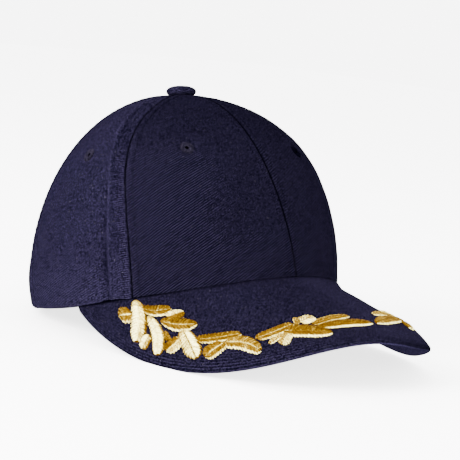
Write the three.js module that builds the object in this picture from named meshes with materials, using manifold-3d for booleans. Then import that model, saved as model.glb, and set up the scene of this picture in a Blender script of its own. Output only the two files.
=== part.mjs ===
// Six-panel peaked cap with raised gold leaf embroidery on the peak.
// Units are millimetres. +Z is up, the peak points to -Y and the wearer's right is -X.
// The shape is written in the cap's own frame, then tilted so that the back hem and the two
// side edges of the peak rest on the plane z = 0.
import * as THREE from 'three';
import { mergeVertices } from 'three/addons/utils/BufferGeometryUtils.js';
import Module from 'manifold-3d';

const wasm = await Module();
wasm.setup();
const RAD = Math.PI / 180;

// Crown
const crownHalfLength = 101;
const crownHalfWidth = 93.1;
const crownHeight = 128.9;
const crownLean = 1.4;
const hemTuck = 0.042;
const hemTuckHeight = 15;
const wallThickness = 2;
const seamGap = 0.3;
const seamGrooveDepth = 0.7;
const seamGrooveWidth = 2.6;
const foldDepth = 1.8;
const foldWidth = 5;
const foldAngle = -75.5;
const profileSpread = [0.967, 0.193, -0.23, -0.128];
const profileFullness = [0.894, -0.56, 0.664, 0.591];
const hemHeights = [4.44, 10.13, 4.01, -0.15];

// Seams, as angles from the centre of the front
const sideSeamAngle = 62.4;
const sideSeamSway = -2.8;
const sideSeamBow = 6.3;
const backSeamAngle = 121;

// Peak
const peakLength = 76;
const peakHalfAngle = 85.2;
const peakLengthAngle = 86.1;
const peakFan = 0.235;
const peakSlope = 21.3;
const peakSlopeAtSides = 24.5;
const peakRoundness = [1.13, 0.77];
const peakStart = 0.4;
const peakTopRise = 1.2;
const peakMidRise = -0.4;
const peakUnderDrop = -2.2;
const peakRimSoftening = 0.8;
const pieceGap = 0.3;

// Rest
const restTilt = 8.8;
const floorHeight = -15.75;
const middleOffset = 36.65;
const hemPress = 0.9;
const hemPressBlend = 3;

// Button and eyelets
const buttonRadius = 8.3;
const buttonHeight = 5.6;
const buttonGap = 0.4;
const shankRadius = 1.5;
const shankLength = 3.4;
const eyeletHole = 1.5;
const eyeletNeck = 2.5;
const eyeletRadius = 4.2;
const eyeletRise = 1.1;
const eyeletClearance = 0.4;
const panelHole = eyeletNeck + pieceGap;
const eyeletTable = [
  { name: 'eyelet_front_right', panel: 'front_panel_right', angle: -42, lift: 46.5 },
  { name: 'eyelet_front_left', panel: 'front_panel_left', angle: 38, lift: 46.5 },
  { name: 'eyelet_side_right', panel: 'side_panel_right', angle: -87.5, lift: 44.5 },
  { name: 'eyelet_side_left', panel: 'side_panel_left', angle: 87.5, lift: 44.5 },
  { name: 'eyelet_back_right', panel: 'back_panel_right', angle: -147, lift: 45 },
  { name: 'eyelet_back_left', panel: 'back_panel_left', angle: 147, lift: 45 },
];

// Embroidery. Each leaf runs from its base to its tip. Angle is degrees from the middle of
// the peak, out is millimetres from the crown, and bow bends the leaf to its left.
const stitchHeight = 1.5;
const stitchEdge = 0.5;
const leafStep = 6.6;
const leafPoint = 0.12;
const leafTable = [
  { leaf: 'lobe', angle: 64.6, out: 9, tipAngle: 69.8, tipOut: 8.6, wide: 10, bow: 0, blunt: 0.9 },
  { leaf: 'long outer', angle: 59.8, out: 2, tipAngle: 68.1, tipOut: 24.2, wide: 9.6, bow: 0, blunt: 0.6 },
  { leaf: 'short outer', angle: 62.5, out: 21, tipAngle: 67, tipOut: 28, wide: 7, bow: 0, blunt: 0.5 },
  { leaf: 'long inner', angle: 60, out: 10, tipAngle: 63.3, tipOut: 34.1, wide: 7.9, bow: 0.5, blunt: 0.6 },
  { leaf: 'upper', angle: 61.2, out: 6.5, tipAngle: 51.2, tipOut: 10.5, wide: 7.6, bow: 0, blunt: 0.7 },
  { leaf: 'upper tip', angle: 55, out: 14.5, tipAngle: 48.8, tipOut: 14, wide: 6.8, bow: 0, blunt: 0.6 },
  { leaf: 'middle', angle: 58, out: 16, tipAngle: 47.1, tipOut: 23.4, wide: 8.1, bow: 0, blunt: 0.3 },
  { leaf: 'link', angle: 58.5, out: 21, tipAngle: 56.6, tipOut: 30, wide: 4, bow: 0, blunt: 0.6 },
  { leaf: 'low lobe', angle: 54.4, out: 29.3, tipAngle: 59.2, tipOut: 34, wide: 8.2, bow: 0, blunt: 0.8 },
  { leaf: 'wide', angle: 52.8, out: 23, tipAngle: 53.3, tipOut: 43.1, wide: 9.4, bow: 0, blunt: 0.6 },
  { leaf: 'ribbon', angle: 53, out: 31.8, tipAngle: 38.3, tipOut: 38.2, wide: 6.2, bow: 0, blunt: 1 },
  { leaf: 'hanging', angle: 44, out: 39.5, tipAngle: 50.3, tipOut: 44.9, wide: 8.4, bow: 1, blunt: 0.8 },
  { leaf: 'broad', angle: 46, out: 39, tipAngle: 36.4, tipOut: 53, wide: 9.6, bow: -1, blunt: 0.9 },
  { leaf: 'stem', angle: 39.5, out: 46.5, tipAngle: 23.2, tipOut: 44, wide: 6.6, bow: 0, blunt: 0.9 },
  { leaf: 'bud one', angle: 28, out: 47.8, tipAngle: 34.1, tipOut: 51.8, wide: 3.8, bow: 0, blunt: 0.8 },
  { leaf: 'bud two', angle: 27, out: 48.8, tipAngle: 31.2, tipOut: 55.7, wide: 6.6, bow: 0, blunt: 0.9 },
  { leaf: 'long low', angle: 32, out: 46.5, tipAngle: 16.8, tipOut: 60.6, wide: 9, bow: -1, blunt: 0.5 },
  { leaf: 'bead', angle: 23, out: 45.8, tipAngle: 21.2, tipOut: 39.9, wide: 3.4, bow: 0, blunt: 0.9 },
  { leaf: 'oval', angle: 22.5, out: 44.4, tipAngle: 16.2, tipOut: 44.2, wide: 6.4, bow: 0, blunt: 0.9 },
  { leaf: 'slender', angle: 22.5, out: 49.8, tipAngle: 4.7, tipOut: 48.4, wide: 4.8, bow: 0, blunt: 0.7 },
  { leaf: 'long tip', angle: 22.5, out: 52.5, tipAngle: 0.9, tipOut: 59.3, wide: 7.2, bow: -0.5, blunt: 0.5 },
];

const navy = { color: 0x26243f, roughness: 0.92, metalness: 0 };
const gold = { color: 0xc9952f, roughness: 0.5, metalness: 0.35 };

const cosineSum = (terms, angle) => {
  const c = Math.cos(angle * RAD);
  return terms[0] + terms[1] * c + terms[2] * (c * c - 0.5) + terms[3] * c ** 3;
};

const hemHeight = (angle) => hemHeights
  .reduce((sum, term, turn) => sum + term * Math.cos(turn * angle * RAD), 0);

const tilted = (p) => {
  const c = Math.cos(restTilt * RAD);
  const s = Math.sin(restTilt * RAD);
  const y = p.y * c + p.z * s + middleOffset;
  const z = p.z * c - p.y * s - floorHeight;
  return new THREE.Vector3(p.x, y, z);
};

const rested = (p) => {
  const q = tilted(p);
  q.z = Math.max(q.z, 0);
  return q;
};

// The lowest stretch of the hem is pressed flat by the cap's own weight.
const pressed = (p) => {
  const q = tilted(p);
  const ramp = (q.z - hemPress) * hemPressBlend / (hemPressBlend - hemPress);
  q.z = q.z < hemPressBlend ? Math.max(ramp, 0) : q.z;
  return q;
};

// Crown surface: angle around from the front, lift from 0 at the rim plane to 90 at the top.
const crownAt = (angle, lift) => {
  const s = Math.sin(lift * RAD);
  const up = Math.max(s, 0);
  const shrink = 1 - hemTuck * Math.exp(-crownHeight * s / hemTuckHeight);
  const across = Math.sqrt(Math.max(1 - up ** (2 / cosineSum(profileFullness, angle)), 0));
  const c = across ** cosineSum(profileSpread, angle) * shrink;
  const x = crownHalfWidth * Math.sin(angle * RAD) * c;
  const y = -crownHalfLength * Math.cos(angle * RAD) * c + crownLean * up * up;
  return new THREE.Vector3(x, y, crownHeight * s);
};

const normalAt = (surface, u, v) => {
  const step = 0.2;
  const du = surface(u + step, v).sub(surface(u - step, v));
  const dv = surface(u, v + step).sub(surface(u, v - step));
  return du.cross(dv).normalize();
};

const hemLift = (angle) => Math.asin(hemHeight(angle) / crownHeight) / RAD;

const sideSeam = (lift) => {
  const up = Math.max(Math.sin(lift * RAD), 0);
  const sine = up ** (1 / cosineSum(profileFullness, sideSeamAngle));
  const bow = 2 * sine * Math.sqrt(Math.max(1 - sine * sine, 0));
  return sideSeamAngle + sideSeamSway * sine * sine + sideSeamBow * bow;
};

const seamTable = {
  centre: () => 0,
  sideRight: (lift) => -sideSeam(lift),
  sideLeft: sideSeam,
  backRight: () => -backSeamAngle,
  backLeft: () => backSeamAngle,
  rearRight: () => -180,
  rearLeft: () => 180,
};

const foldAt = (angle, lift) => {
  const reach = (Math.abs(angle) + foldAngle - lift * 0.12) / foldWidth;
  const ends = Math.sin(Math.min(Math.max((lift + 12) / 62, 0), 1) * Math.PI);
  return -foldDepth * Math.exp(-reach * reach) * ends;
};

// A closed body between two skins that share one grid of points.
const shellBetween = (outer, inner) => {
  const columns = outer.length;
  const rows = outer[0].length;
  const at = (i, j, side) => side * columns * rows + i * rows + j;
  const positions = [outer, inner].flat(2).flatMap((p) => [p.x, p.y, p.z]);
  const faces = [];
  const quad = (a, b, c, d) => faces.push(a, b, c, a, c, d);
  for (let i = 0; i + 1 < columns; i += 1) {
    for (let j = 0; j + 1 < rows; j += 1) {
      quad(at(i, j, 0), at(i + 1, j, 0), at(i + 1, j + 1, 0), at(i, j + 1, 0));
      quad(at(i, j, 1), at(i, j + 1, 1), at(i + 1, j + 1, 1), at(i + 1, j, 1));
    }
    quad(at(i, 0, 0), at(i, 0, 1), at(i + 1, 0, 1), at(i + 1, 0, 0));
    quad(at(i, rows - 1, 0), at(i + 1, rows - 1, 0), at(i + 1, rows - 1, 1), at(i, rows - 1, 1));
  }
  for (let j = 0; j + 1 < rows; j += 1) {
    quad(at(0, j, 0), at(0, j + 1, 0), at(0, j + 1, 1), at(0, j, 1));
    quad(at(columns - 1, j, 0), at(columns - 1, j, 1), at(columns - 1, j + 1, 1), at(columns - 1, j + 1, 0));
  }
  const geometry = new THREE.BufferGeometry();
  geometry.setAttribute('position', new THREE.Float32BufferAttribute(positions, 3));
  geometry.setIndex(faces);
  return geometry;
};

const manifoldOf = (geometry) => {
  const plain = new THREE.BufferGeometry();
  plain.setAttribute('position', geometry.getAttribute('position'));
  plain.setIndex(geometry.getIndex());
  const merged = mergeVertices(plain, 1e-4);
  return new wasm.Manifold(new wasm.Mesh({
    numProp: 3,
    vertProperties: new Float32Array(merged.getAttribute('position').array),
    triVerts: new Uint32Array(merged.getIndex().array),
  }));
};

const geometryOf = (solid) => {
  const mesh = solid.getMesh();
  const geometry = new THREE.BufferGeometry();
  geometry.setAttribute('position', new THREE.Float32BufferAttribute(mesh.vertProperties, 3));
  geometry.setIndex(new THREE.Uint32BufferAttribute(mesh.triVerts, 1));
  return geometry;
};

// A ring or disc turned about the local Z axis, then stood on the surface at a point.
const turned = (profile, sides, origin, axis) => {
  const points = profile.map(([r, z]) => new THREE.Vector2(r, z));
  const geometry = new THREE.LatheGeometry(points, sides);
  geometry.rotateX(Math.PI / 2);
  const turn = new THREE.Quaternion().setFromUnitVectors(new THREE.Vector3(0, 0, 1), axis);
  geometry.applyQuaternion(turn);
  geometry.translate(origin.x, origin.y, origin.z);
  return geometry;
};

const crownPoint = (angle, lift, inward) => {
  const out = normalAt(crownAt, angle, lift);
  return crownAt(angle, lift).addScaledVector(out, foldAt(angle, lift) - inward);
};

const panelColumns = 8;
const panelRows = 12;
const topLift = 88.3;
const panel = (fromSeam, toSeam) => {
  const outer = [];
  const inner = [];
  for (let i = 0; i <= panelColumns; i += 1) {
    const turn = Math.cos(Math.PI * i / panelColumns);
    const share = 0.5 - 0.5 * turn * (1.35 - 0.35 * Math.abs(turn));
    const outerColumn = [];
    const innerColumn = [];
    for (let j = 0; j <= panelRows; j += 1) {
      const climb = j / panelRows;
      const middle = (fromSeam(30) + toSeam(30)) / 2;
      const lift0 = hemLift(middle + (share - 0.5) * (toSeam(0) - fromSeam(0)));
      const lift = lift0 + (topLift - lift0) * climb;
      const from = fromSeam(lift);
      const to = toSeam(lift);
      const degree = crownAt(from + 1, lift).distanceTo(crownAt(from, lift));
      const gap = seamGap / 2 / degree;
      const angle = from + gap + (to - from - 2 * gap) * share;
      const edge = Math.min(share, 1 - share) * (to - from) * degree;
      const groove = seamGrooveDepth * Math.exp(-edge / seamGrooveWidth) * Math.min(degree, 1);
      const settle = j === 0 ? pressed : rested;
      outerColumn.push(settle(crownPoint(angle, lift, groove)));
      innerColumn.push(settle(crownPoint(angle, lift, wallThickness)));
    }
    outer.push(outerColumn);
    inner.push(innerColumn);
  }
  return manifoldOf(shellBetween(outer, inner));
};

// Peak surface: angle around the front and out from the crown in millimetres.
const peakReach = (angle) => {
  const share = Math.min(Math.abs(angle) / peakLengthAngle, 1);
  return peakLength * Math.cos(Math.PI / 2 * share ** peakRoundness[0]) ** peakRoundness[1];
};

const peakAt = (angle, out) => {
  const root = crownAt(angle, hemLift(angle));
  const fan = angle * peakFan * RAD;
  const steep = peakSlope + peakSlopeAtSides * Math.sin(angle * RAD) ** 2;
  const run = new THREE.Vector3(Math.sin(fan), -Math.cos(fan), -Math.tan(steep * RAD));
  return root.addScaledVector(run, out);
};

const peakPoint = (angle, out, rise) => {
  const up = normalAt(peakAt, angle, Math.max(out, 1)).negate();
  return peakAt(angle, out).addScaledVector(up, rise);
};

const peakColumns = 42;
const peakRowShares = [0, 0.16, 0.34, 0.52, 0.7, 0.86, 0.96, 1];
const peakBody = (topRise, bottomRise, softTop, softBottom) => {
  const top = [];
  const bottom = [];
  for (let i = 0; i <= peakColumns; i += 1) {
    const angle = peakHalfAngle * Math.sin(Math.PI / 2 * (2 * i / peakColumns - 1));
    const reach = Math.max(peakReach(angle), 3);
    const soft = (share) => peakRimSoftening * Math.max(0, (share - 0.9) / 0.1) ** 2;
    const row = (rise, sign, amount) => peakRowShares.map((share) => {
      const out = peakStart + (reach - peakStart) * share;
      return rested(peakPoint(angle, out, rise + sign * amount * soft(share)));
    });
    top.push(row(topRise, -1, softTop));
    bottom.push(row(bottomRise, 1, softBottom));
  }
  return shellBetween(top.reverse(), bottom.reverse());
};

// One leaf as a strip of stations, domed from its two edges up to a ridge.
const leafWidth = (share, blunt) => {
  const round = Math.sin(Math.PI * Math.min(Math.max(share, 0), 1) ** 0.85);
  const square = Math.min(1, (1 - share) * 5, share * 5 + 0.35);
  const full = Math.sqrt(Math.max(square * (0.55 + 0.45 * round), 0));
  return Math.max((1 - blunt) * round + blunt * full, leafPoint);
};

const leafBody = (row, side) => {
  const degreeLength = 1.7 + 0.0045 * (row.out + row.tipOut) / 2;
  const run = (row.tipAngle - row.angle) * degreeLength;
  const rise = row.tipOut - row.out;
  const length = Math.hypot(run, rise);
  const stations = Math.max(3, Math.round(length / leafStep) + 1);
  const top = [];
  const bottom = [];
  for (let i = 0; i <= stations; i += 1) {
    const share = i / stations;
    const half = row.wide / 2 * leafWidth(share, row.blunt);
    const bend = row.bow * Math.sin(Math.PI * share);
    const at = (offset, height) => {
      const across = offset + bend;
      const angle = row.angle + (run * share + rise / length * across) / degreeLength;
      const out = row.out + rise * share - run / length * across;
      return rested(peakPoint(side * angle, out, peakTopRise + pieceGap + height));
    };
    const crest = stitchEdge + (stitchHeight - stitchEdge) * Math.sqrt(leafWidth(share, row.blunt));
    const tops = [at(-half, stitchEdge), at(0, crest), at(half, stitchEdge)];
    const bottoms = [at(-half, 0), at(0, 0), at(half, 0)];
    top.push(side > 0 ? tops : tops.reverse());
    bottom.push(side > 0 ? bottoms : bottoms.reverse());
  }
  return manifoldOf(shellBetween(top, bottom));
};

const branch = (side) => {
  const leaves = leafTable.map((row) => leafBody(row, side));
  return geometryOf(leaves.reduce((whole, leaf) => whole.add(leaf)));
};

const group = new THREE.Group();
const addNode = (name, geometry, look) => {
  const shown = geometry.toNonIndexed();
  shown.computeVertexNormals();
  const mesh = new THREE.Mesh(shown, new THREE.MeshStandardMaterial(look));
  mesh.name = name;
  group.add(mesh);
};

const panels = {
  front_panel_right: panel(seamTable.sideRight, seamTable.centre),
  front_panel_left: panel(seamTable.centre, seamTable.sideLeft),
  side_panel_right: panel(seamTable.backRight, seamTable.sideRight),
  side_panel_left: panel(seamTable.sideLeft, seamTable.backLeft),
  back_panel_right: panel(seamTable.rearRight, seamTable.backRight),
  back_panel_left: panel(seamTable.backLeft, seamTable.rearLeft),
};

const standOn = (angle, lift) => {
  const origin = rested(crownPoint(angle, lift, 0));
  const axis = tilted(normalAt(crownAt, angle, lift)).sub(tilted(new THREE.Vector3())).normalize();
  return [origin, axis];
};

eyeletTable.forEach((row) => {
  const [origin, axis] = standOn(row.angle, row.lift);
  const punch = turned([[0, -6], [panelHole, -6], [panelHole, 4], [0, 4]], 16, origin, axis);
  panels[row.panel] = panels[row.panel].subtract(manifoldOf(punch));
  const ring = turned([
    [eyeletHole, -wallThickness],
    [eyeletNeck, -wallThickness],
    [eyeletNeck, eyeletClearance],
    [eyeletRadius, eyeletClearance],
    [eyeletRadius - 0.4, eyeletRise],
    [eyeletHole + 0.4, eyeletRise],
    [eyeletHole, -wallThickness],
  ], 16, origin, axis);
  addNode(row.name, geometryOf(manifoldOf(ring)), navy);
});

Object.entries(panels).forEach(([name, solid]) => addNode(name, geometryOf(solid), navy));

const crownTop = rested(crownAt(0, 90));
const topAxis = tilted(new THREE.Vector3(0, 0, 1)).sub(tilted(new THREE.Vector3())).normalize();
const buttonProfile = [
  [0, -shankLength],
  [shankRadius, -shankLength],
  [shankRadius, buttonGap],
  [buttonRadius - 0.4, buttonGap],
  [buttonRadius, 1.6],
  [buttonRadius * 0.94, 3.2],
  [buttonRadius * 0.72, 4.7],
  [buttonRadius * 0.38, 5.4],
  [0, buttonHeight],
];
addNode('top_button', geometryOf(manifoldOf(turned(buttonProfile, 24, crownTop, topAxis))), navy);
addNode('peak_upper', geometryOf(manifoldOf(peakBody(peakTopRise, peakMidRise, 1, 0))), navy);
addNode('peak_under', geometryOf(manifoldOf(peakBody(peakMidRise - pieceGap, peakUnderDrop, 0, 1))), navy);
addNode('embroidery_right', branch(-1), gold);
addNode('embroidery_left', branch(1), gold);

export default group;
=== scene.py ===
import math

import bpy
import numpy as np
from mathutils import Matrix, Vector


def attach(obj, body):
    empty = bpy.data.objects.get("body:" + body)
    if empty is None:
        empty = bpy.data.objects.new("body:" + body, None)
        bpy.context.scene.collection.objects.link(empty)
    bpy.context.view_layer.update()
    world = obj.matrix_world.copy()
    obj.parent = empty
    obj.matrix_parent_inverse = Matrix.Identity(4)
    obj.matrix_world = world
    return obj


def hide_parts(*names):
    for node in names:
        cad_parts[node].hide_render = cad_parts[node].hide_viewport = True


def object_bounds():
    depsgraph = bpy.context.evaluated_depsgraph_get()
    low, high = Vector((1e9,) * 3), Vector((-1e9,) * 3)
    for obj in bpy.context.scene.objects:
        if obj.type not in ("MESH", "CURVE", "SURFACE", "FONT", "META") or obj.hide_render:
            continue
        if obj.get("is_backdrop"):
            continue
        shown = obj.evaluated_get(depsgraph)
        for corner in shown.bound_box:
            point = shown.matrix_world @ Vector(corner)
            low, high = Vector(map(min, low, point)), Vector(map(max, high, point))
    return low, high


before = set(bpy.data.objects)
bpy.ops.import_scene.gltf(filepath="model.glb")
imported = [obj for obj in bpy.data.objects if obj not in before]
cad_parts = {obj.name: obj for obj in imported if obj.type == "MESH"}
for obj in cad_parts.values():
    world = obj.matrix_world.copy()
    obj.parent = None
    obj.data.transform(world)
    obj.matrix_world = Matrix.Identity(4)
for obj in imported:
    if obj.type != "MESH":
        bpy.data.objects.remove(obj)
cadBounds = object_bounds()
print("frame loaded")

# All sizes are millimetres and degrees until a mesh is made, which is in metres.
millimetre = 0.001
fine = 1e-9

crown = {
    "halfLength": 101.0,
    "halfWidth": 93.1,
    "height": 128.9,
    "lean": 1.4,
    "hemTuck": 0.042,
    "hemTuckHeight": 15.0,
    "spread": (0.967, 0.193, -0.23, -0.128),
    "fullness": (0.894, -0.56, 0.664, 0.591),
    "hemHeights": (4.44, 10.13, 4.01, -0.15),
    "topLift": 88.3,
    "wall": 2.0,
}
seams = {
    "sideAngle": 62.4,
    "sideSway": -2.8,
    "sideBow": 6.3,
    "backAngle": 121.0,
}
resting = {
    "tilt": 8.8,
    "floor": -15.75,
    "middle": 36.65,
    "press": 0.9,
    "pressBlend": 3.0,
}
peak = {
    "length": 76.0,
    "halfAngle": 85.2,
    "lengthAngle": 86.1,
    "fan": 0.235,
    "slope": 21.3,
    "slopeAtSides": 24.5,
    "roundness": (1.13, 0.77),
    "start": -1.2,
    "topRise": 0.6,
    "middleRise": -0.7,
    "gap": 0.2,
    "underDrop": -2.4,
}
# Wear has bent the peak: how far the rim hangs lower at each angle, a sag by the crown and a swell near the rim.
bent = {
    "angle": (-75, -60, -45, -30, -15, 0, 15, 30, 45, 60, 75),
    "width": 17.0,
    "drop": (0.0, 0.5, 0.6, -0.8, -0.5, 1.6, 4.7, 2.2, 1.8, -1.4, -6.2),
    "from": 0.6,
    "full": 40.0,
    "sagAngle": 38.0,
    "sagOut": 8.0,
    "sagWidth": 22.0,
    "sag": 2.47,
    "swellAngle": 28.4,
    "swellOut": 63.4,
    "swellTurn": 18.0,
    "swellWidth": 16.0,
    "swell": 3.72,
}


def cosineSum(terms, angle):
    c = np.cos(np.radians(angle))
    return terms[0] + terms[1] * c + terms[2] * (c * c - 0.5) + terms[3] * c ** 3


def crownAt(angle, lift):
    turn = np.radians(angle)
    s = np.sin(np.radians(lift)) + 0 * turn
    up = np.clip(s, 0, 1)
    shrink = 1 - crown["hemTuck"] * np.exp(-crown["height"] * s / crown["hemTuckHeight"])
    across = np.sqrt(np.clip(1 - up ** (2 / cosineSum(crown["fullness"], angle)), 0, None))
    c = across ** cosineSum(crown["spread"], angle) * shrink
    x = crown["halfWidth"] * np.sin(turn) * c
    y = -crown["halfLength"] * np.cos(turn) * c + crown["lean"] * up * up
    return np.stack([x, y, crown["height"] * s], -1)


def hemHeight(angle):
    return sum(term * np.cos(np.radians(turn * angle))
               for turn, term in enumerate(crown["hemHeights"]))


def hemLift(angle):
    return np.degrees(np.arcsin(hemHeight(angle) / crown["height"]))


def sideSeam(lift):
    up = np.clip(np.sin(np.radians(lift)), 0, 1)
    sine = up ** (1 / cosineSum(crown["fullness"], seams["sideAngle"]))
    bow = 2 * sine * np.sqrt(np.clip(1 - sine * sine, 0, None))
    return seams["sideAngle"] + seams["sideSway"] * sine * sine + seams["sideBow"] * bow


def peakReach(angle):
    share = np.clip(np.abs(angle) / peak["lengthAngle"], 0, 1)
    first, second = peak["roundness"]
    return peak["length"] * np.cos(math.pi / 2 * share ** first) ** second


def peakAt(angle, out):
    root = crownAt(angle, hemLift(angle))
    fan = np.radians(angle * peak["fan"])
    steep = np.radians(peak["slope"] + peak["slopeAtSides"] * np.sin(np.radians(angle)) ** 2)
    run = np.stack([np.sin(fan), -np.cos(fan), -np.tan(steep)], -1)
    return root + run * np.asarray(out)[..., None]


def smoothStep(low, high, x):
    t = np.clip((x - low) / (high - low), 0, 1)
    return t * t * (3 - 2 * t)


def rimDrop(angle):
    total = sum(part * np.exp(-((angle - at) / bent["width"]) ** 2)
                for at, part in zip(bent["angle"], bent["drop"]))
    return total * np.clip(peakReach(angle) / bent["full"], 0, 1)


def unit(vectors):
    return vectors / np.maximum(np.linalg.norm(vectors, axis=-1, keepdims=True), fine)


def outwardOf(surface, u, v):
    step = 0.2
    du = surface(u + step, v) - surface(u - step, v)
    dv = surface(u, v + step) - surface(u, v - step)
    return unit(np.cross(du, dv))


def peakPoint(angle, out, rise):
    up = -outwardOf(peakAt, angle, np.maximum(out, 1))
    return peakAt(angle, out) + up * np.asarray(rise)[..., None]


def tilted(p):
    c = math.cos(math.radians(resting["tilt"]))
    s = math.sin(math.radians(resting["tilt"]))
    y = p[..., 1] * c + p[..., 2] * s + resting["middle"]
    z = p[..., 2] * c - p[..., 1] * s - resting["floor"]
    return np.stack([p[..., 0], y, z], -1)


def turnedOnly(v):
    return tilted(v) - tilted(np.zeros(3))


def rested(p):
    q = tilted(p)
    q[..., 2] = np.maximum(q[..., 2], 0)
    return q


# The lowest stretch of the hem is pressed flat by the cap's own weight.
def pressed(p):
    q = tilted(p)
    low, high = resting["press"], resting["pressBlend"]
    ramp = np.maximum((q[..., 2] - low) * high / (high - low), 0)
    q[..., 2] = np.where(q[..., 2] < high, ramp, q[..., 2])
    return q


def peakShown(angle, out, rise):
    p = tilted(peakPoint(angle, out, rise))
    late = np.clip((out / np.maximum(peakReach(angle), 3) - bent["from"]) / (1 - bent["from"]), 0, 1.2)
    drop = rimDrop(angle) * late ** 2
    near = ((angle - bent["sagAngle"]) / bent["sagWidth"]) ** 2 + ((out - bent["sagOut"]) / bent["sagWidth"]) ** 2
    far = (((angle - bent["swellAngle"]) / bent["swellTurn"]) ** 2
           + ((out - bent["swellOut"]) / bent["swellWidth"]) ** 2)
    drop = drop + bent["sag"] * np.exp(-near) * smoothStep(-1, 5, out) - bent["swell"] * np.exp(-far)
    p[..., 2] = np.maximum(p[..., 2] - drop, 0)
    return p


def bell(x, width):
    return np.exp(-(x / width) ** 2)


def fadeOut(low, high, x):
    return 1 - smoothStep(low, high, x)


# How far a rounded edge has fallen at a distance in from it.
def rolledEdge(radius, distance):
    inside = np.clip(radius - distance, 0, None)
    return radius - np.sqrt(np.clip(radius ** 2 - inside ** 2, 0, None))


# Smooth seeded noise: a sum of waves in two directions.
def ripple(seed, u, v, wave, layers=6):
    dice = np.random.default_rng(seed)
    total = 0 * (u + v)
    for _ in range(layers):
        turn = dice.uniform(0, 2 * math.pi)
        size = wave * dice.uniform(0.7, 1.5)
        phase = dice.uniform(0, 2 * math.pi)
        total = total + np.sin(2 * math.pi * (u * math.cos(turn) + v * math.sin(turn)) / size + phase)
    return total / math.sqrt(layers / 2)


def alongRows(points):
    steps = np.linalg.norm(np.diff(points, axis=1), axis=-1)
    return np.concatenate([np.zeros_like(steps[:, :1]), np.cumsum(steps, 1)], 1)


def linked(name, data):
    made = bpy.data.objects.new(name, data)
    bpy.context.scene.collection.objects.link(made)
    return made


def addNumbers(mesh, numbers):
    for key, values in numbers.items():
        layer = mesh.attributes.new(key, "FLOAT", "POINT")
        layer.data.foreach_set("value", np.asarray(values, dtype=np.float32).ravel())


def pieceFrom(name, points, faces, numbers=None, uv=None):
    mesh = bpy.data.meshes.new(name)
    mesh.from_pydata((np.asarray(points) * millimetre).tolist(), [], faces)
    if uv is not None:
        layer = mesh.uv_layers.new(name="cloth")
        corners = np.empty(len(mesh.loops), dtype=np.int32)
        mesh.loops.foreach_get("vertex_index", corners)
        layer.data.foreach_set("uv", (np.asarray(uv) * millimetre)[corners].ravel())
    addNumbers(mesh, numbers or {})
    mesh.polygons.foreach_set("use_smooth", [True] * len(mesh.polygons))
    mesh.update()
    return linked(name, mesh)


# One grid of values or points, laid out for both skins of a shell.
def forBothSkins(grid):
    return np.concatenate([grid.reshape(-1, *grid.shape[2:])] * 2)


# A closed body between two skins that share one grid of points.
def shellFaces(columns, rows):
    n = columns * rows
    at = lambda i, j, side: side * n + i * rows + j
    faces = []
    for i in range(columns - 1):
        for j in range(rows - 1):
            faces.append((at(i, j, 0), at(i + 1, j, 0), at(i + 1, j + 1, 0), at(i, j + 1, 0)))
            faces.append((at(i, j, 1), at(i, j + 1, 1), at(i + 1, j + 1, 1), at(i + 1, j, 1)))
        faces.append((at(i, 0, 0), at(i, 0, 1), at(i + 1, 0, 1), at(i + 1, 0, 0)))
        faces.append((at(i, rows - 1, 0), at(i + 1, rows - 1, 0), at(i + 1, rows - 1, 1), at(i, rows - 1, 1)))
    for j in range(rows - 1):
        faces.append((at(0, j, 0), at(0, j + 1, 0), at(0, j + 1, 1), at(0, j, 1)))
        faces.append((at(columns - 1, j, 0), at(columns - 1, j, 1),
                      at(columns - 1, j + 1, 1), at(columns - 1, j + 1, 0)))
    return faces


def areaOf(grid):
    a = grid[1:, :-1] - grid[:-1, :-1]
    b = grid[:-1, 1:] - grid[:-1, :-1]
    return float(np.linalg.norm(np.cross(a, b), axis=-1).sum()) * millimetre ** 2


class Flow:
    def __init__(self, tree, socket):
        self.tree = tree
        self.socket = socket

    def maths(self, operation, first, second=None):
        values = {0: first} if second is None else {0: first, 1: second}
        return makeNode(self.tree, "ShaderNodeMath", {"operation": operation}, values)

    def __add__(self, other):
        return self.maths("ADD", self, other)

    __radd__ = __add__

    def __mul__(self, other):
        return self.maths("MULTIPLY", self, other)

    __rmul__ = __mul__

    def __sub__(self, other):
        return self.maths("SUBTRACT", self, other)

    def __rsub__(self, other):
        return self.maths("SUBTRACT", other, self)

    def sine(self):
        return self.maths("SINE", self)

    def clamped(self):
        return makeNode(self.tree, "ShaderNodeClamp", {}, {"Value": self})

    def between(self, low, high):
        return makeNode(self.tree, "ShaderNodeMapRange", {"interpolation_type": "SMOOTHSTEP"},
                        {"Value": self, "From Min": low, "From Max": high})


def makeNode(tree, kind, settings=None, sockets=None, output=0):
    node = tree.nodes.new(kind)
    for key, value in (settings or {}).items():
        if key == "stops":
            ramp = node.color_ramp.elements
            for place, (position, colour) in enumerate(value):
                stop = ramp[place] if place < 2 else ramp.new(position)
                stop.position = position
                stop.color = colour
        else:
            setattr(node, key, value)
    for key, value in (sockets or {}).items():
        target = node.inputs[key]
        if isinstance(value, Flow):
            tree.links.new(value.socket, target)
        elif value is not None:
            target.default_value = value
    return Flow(tree, node.outputs[output])


def partsOf(vector):
    node = vector.tree.nodes.new("ShaderNodeSeparateXYZ")
    vector.tree.links.new(vector.socket, node.inputs[0])
    return [Flow(vector.tree, socket) for socket in node.outputs]


def startMaterial(name):
    material = bpy.data.materials.new(name)
    material.use_nodes = True
    material.node_tree.nodes.clear()
    return material, material.node_tree


def closeMaterial(material, sockets):
    tree = material.node_tree
    surface = makeNode(tree, "ShaderNodeBsdfPrincipled", {}, sockets)
    out = tree.nodes.new("ShaderNodeOutputMaterial")
    tree.links.new(surface.socket, out.inputs["Surface"])
    return material


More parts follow.
